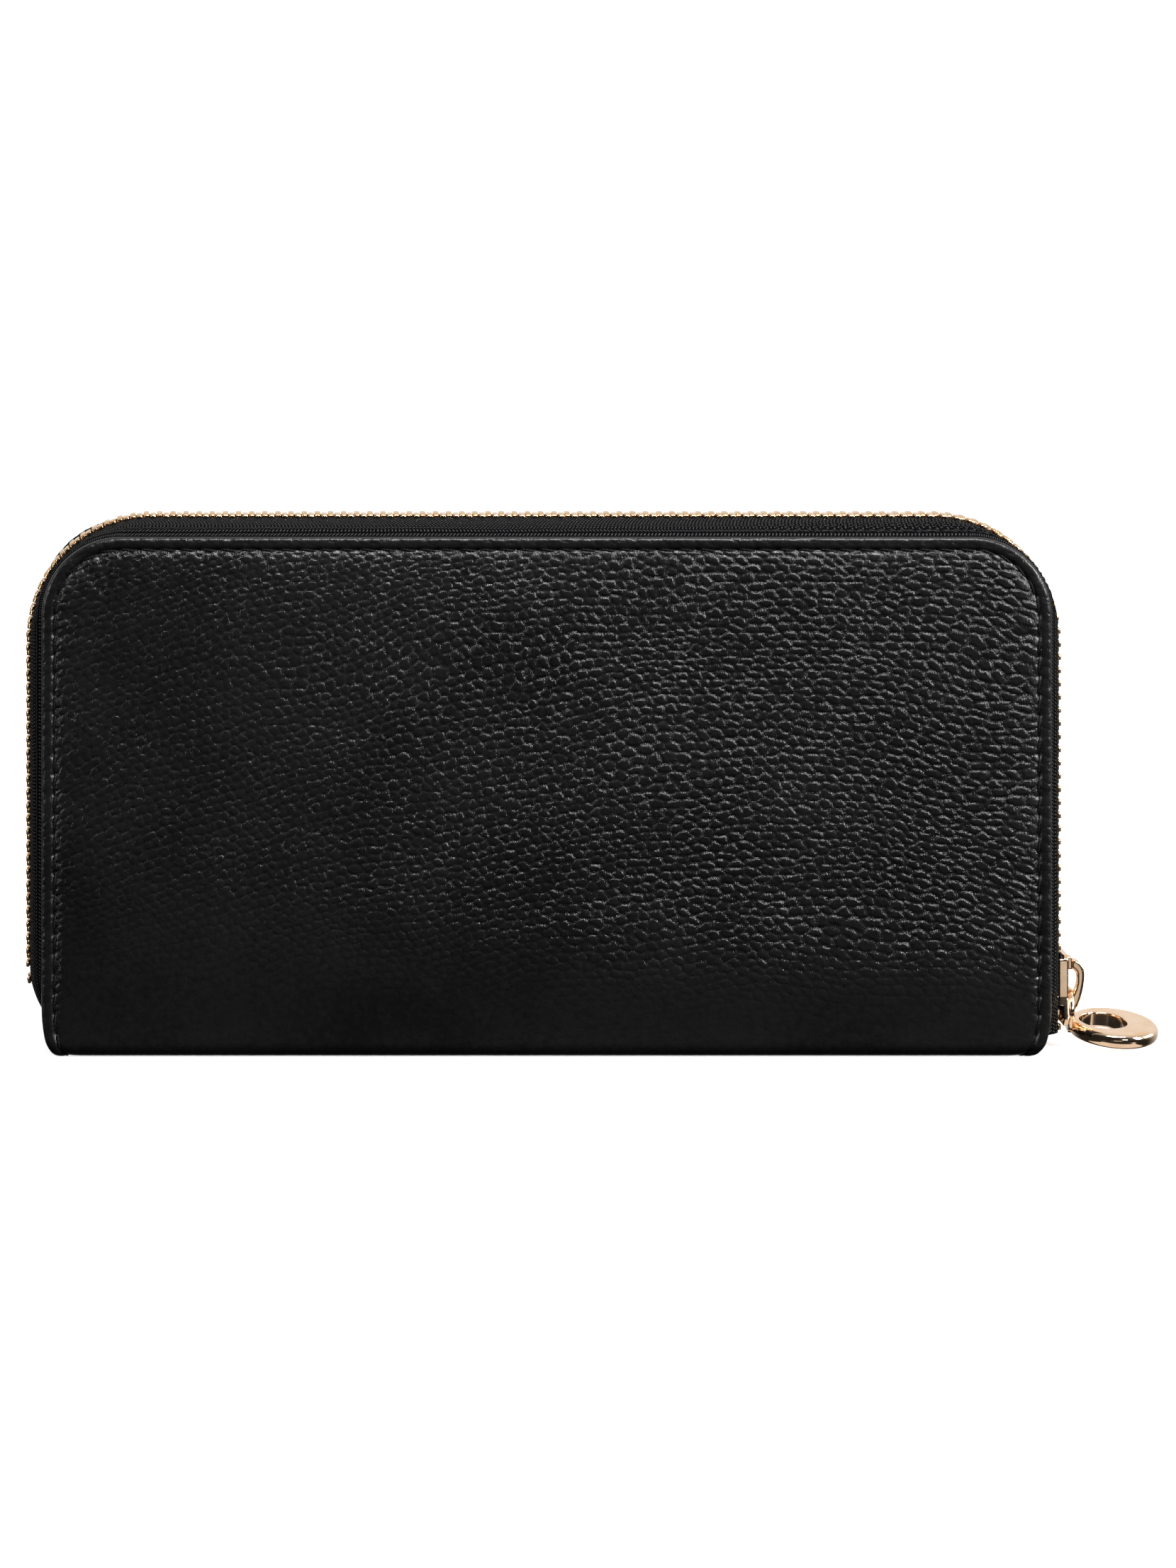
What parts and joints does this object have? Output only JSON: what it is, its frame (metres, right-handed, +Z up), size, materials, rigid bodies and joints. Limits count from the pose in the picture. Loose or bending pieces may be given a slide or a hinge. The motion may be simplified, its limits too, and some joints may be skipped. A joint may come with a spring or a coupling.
{
  "type": "zip around wallet",
  "caption": "Long zip-around wallet in pebbled leather, standing on its spine, with a gold zip round three sides, a ring-and-disc puller, card pockets and a zipped coin pocket inside.",
  "frame": {"origin": "middle of the flat foot of the spine, the face the closed wallet stands on", "axes": "+X along the spine towards the parked zip slider, +Y from the front cover to the back cover, +Z up from the spine to the zip along the top"},
  "size_m": [0.2151, 0.024, 0.1013],
  "materials": {
    "cover_leather": "tumbled grain, soft satin",
    "inner_leather": "fine grain, satin",
    "lining_cloth": "plain weave",
    "board": "matt",
    "zip_tape": "herringbone weave",
    "thread": "waxed thread",
    "zip_metal": "polished gold plate",
    "slider_metal": "polished pale gold plate",
    "coin_zip_metal": "polished gold plate"
  },
  "bodies": {
    "spine": {"spine_leather": "cover_leather", "spine_lining": "lining_cloth", "front_gusset_inner_leaves": "inner_leather", "back_gusset_inner_leaves": "inner_leather", "coin_pocket_front_wall": "inner_leather", "coin_pocket_back_wall": "inner_leather", "coin_pocket_lining": "lining_cloth", "coin_zip_front_tape": "zip_tape", "coin_zip_back_tape": "zip_tape", "coin_zip_front_teeth": "coin_zip_metal", "coin_zip_back_teeth": "coin_zip_metal", "coin_zip_stops": "coin_zip_metal"},
    "front_cover": {"front_cover_leather": "cover_leather", "front_stiffener_board": "board", "front_lining": "lining_cloth", "front_edge_stitching": "thread", "front_card_pocket_1": "inner_leather", "front_card_pocket_2": "inner_leather", "front_card_pocket_3": "inner_leather", "front_card_pocket_4": "inner_leather", "front_zip_tape": "zip_tape", "front_zip_teeth": "zip_metal", "front_zip_stops": "zip_metal", "front_gusset_outer_leaves": "inner_leather"},
    "back_cover": {"back_cover_leather": "cover_leather", "back_stiffener_board": "board", "back_lining": "lining_cloth", "back_edge_stitching": "thread", "back_card_pocket_1": "inner_leather", "back_card_pocket_2": "inner_leather", "back_card_pocket_3": "inner_leather", "back_card_pocket_4": "inner_leather", "back_zip_tape": "zip_tape", "back_zip_teeth": "zip_metal", "back_zip_stops": "zip_metal", "back_gusset_outer_leaves": "inner_leather"},
    "slider": {"slider_body": "slider_metal", "slider_bridge": "slider_metal"},
    "puller": {"puller": "slider_metal"},
    "coin_slider": {"coin_slider_body": "coin_zip_metal", "coin_slider_bridge": "coin_zip_metal"},
    "coin_pull": {"coin_pull_tab": "coin_zip_metal"}
  },
  "joints": [
    {"name": "front_open", "type": "hinge", "parent": "spine", "child": "front_cover", "pos_m": [0, -0.012, 0.0031], "axis": [1, 0, 0], "range_deg": [0, 40]},
    {"name": "back_open", "type": "hinge", "parent": "spine", "child": "back_cover", "pos_m": [0, 0.012, 0.0031], "axis": [-1, 0, 0], "range_deg": [0, 40]},
    {"name": "zip_slide", "type": "slide", "parent": "back_cover", "child": "slider", "axis": [0, 0, 1], "range_m": [0, 0.059], "deforming": ["front_zip_teeth", "back_zip_teeth"]},
    {"name": "puller_swing", "type": "hinge", "parent": "slider", "child": "puller", "pos_m": [0.09997, 0, 0.01045], "axis": [0, -1, 0], "range_deg": [0, 110]},
    {"name": "coin_zip_slide", "type": "slide", "parent": "spine", "child": "coin_slider", "axis": [-1, 0, 0], "range_m": [0, 0.148], "deforming": ["coin_zip_front_teeth", "coin_zip_back_teeth"]},
    {"name": "coin_pull_swing", "type": "hinge", "parent": "coin_slider", "child": "coin_pull", "pos_m": [0.0754, 0, 0.07645], "axis": [0, 1, 0], "range_deg": [0, 170]}
  ],
  "couplings": [
    {"joint": "back_open", "follows": "front_open", "ratio": 1}
  ]
}
